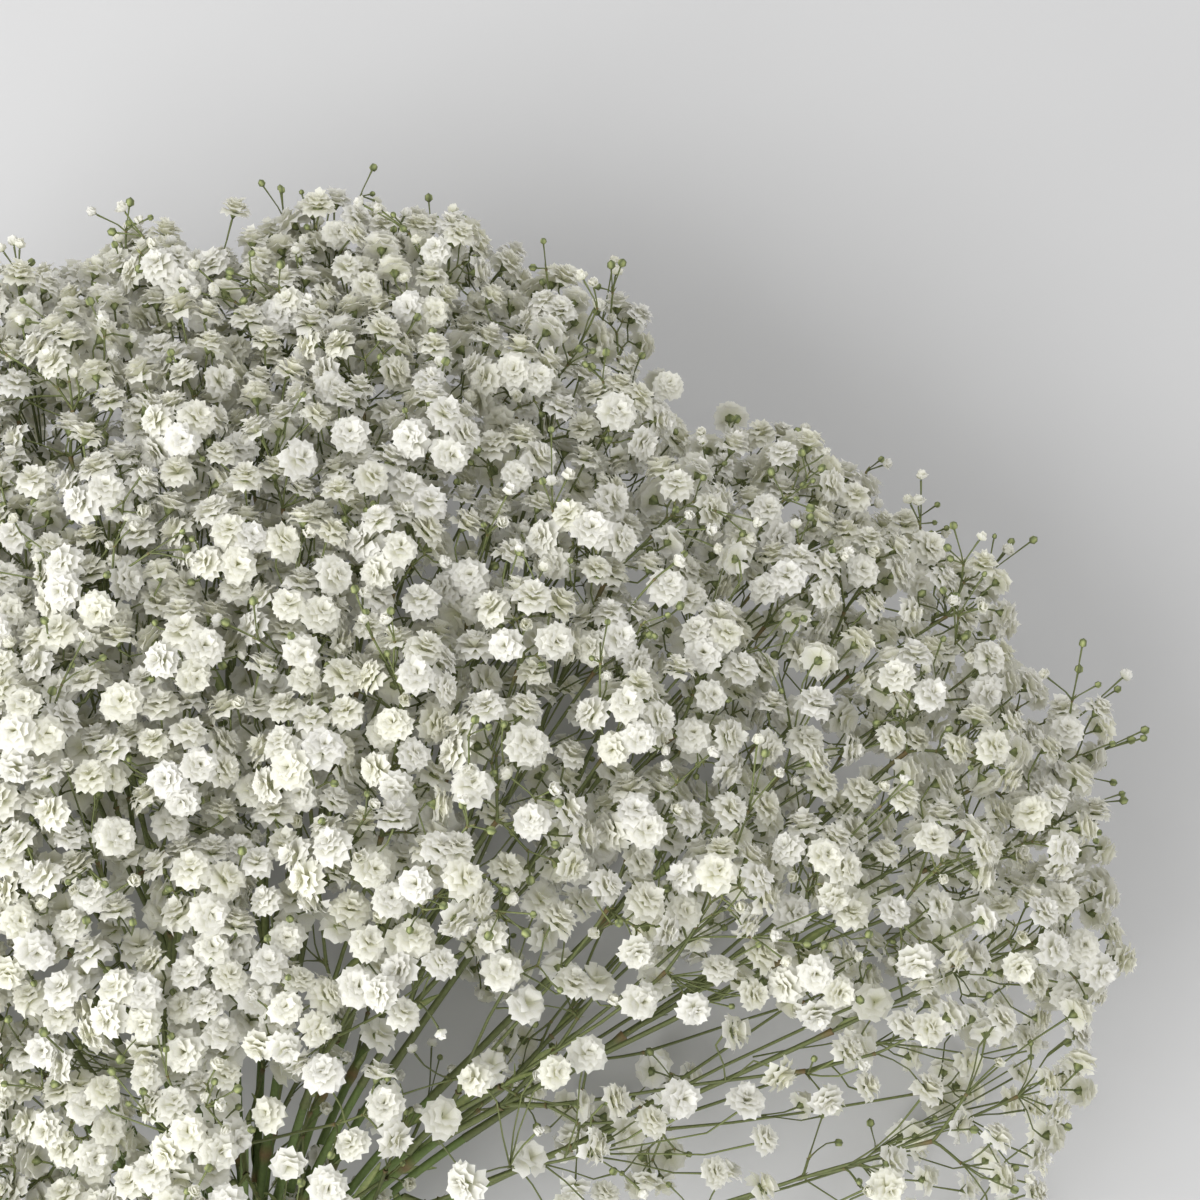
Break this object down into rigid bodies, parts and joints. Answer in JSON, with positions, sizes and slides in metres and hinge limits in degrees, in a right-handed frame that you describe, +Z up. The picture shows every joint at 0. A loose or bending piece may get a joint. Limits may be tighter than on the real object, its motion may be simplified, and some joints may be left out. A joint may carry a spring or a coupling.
{
  "type": "gypsophila bunch",
  "caption": "Bunch of cut gypsophila stems tied with raffia, lying down: forking branches that carry a rounded cloud of small double white blooms.",
  "frame": {"origin": "on the table, under the middle of the bunch's box", "axes": "+Y along the bunch from its cut ends towards its blooms, +X to the viewer's right, +Z up from the table it lies on"},
  "size_m": [0.4502, 0.4798, 0.204],
  "materials": {
    "blooms": "soft matt white petals, cream to pale green in the middle, that let some light through",
    "stems": "olive green plant tissue, satin, red-brown at the joints",
    "raffia": "dry pale tan fibre, matt"
  },
  "bodies": {
    "root": {"spray_01": "blooms", "spray_02": "blooms", "spray_03": "blooms", "spray_04": "blooms", "spray_05": "blooms", "spray_06": "blooms", "spray_07": "blooms", "spray_08": "blooms", "spray_09": "blooms", "spray_10": "blooms", "spray_11": "blooms", "spray_12": "blooms", "spray_13": "blooms", "spray_14": "blooms", "spray_15": "blooms", "spray_16": "blooms", "spray_17": "blooms", "spray_18": "blooms", "spray_19": "blooms", "spray_20": "blooms", "spray_21": "blooms", "spray_22": "blooms", "spray_23": "blooms", "spray_24": "blooms", "spray_25": "blooms", "spray_26": "blooms", "spray_27": "blooms", "spray_28": "blooms", "spray_29": "blooms", "spray_30": "blooms", "tie": "raffia"}
  },
  "joints": []
}
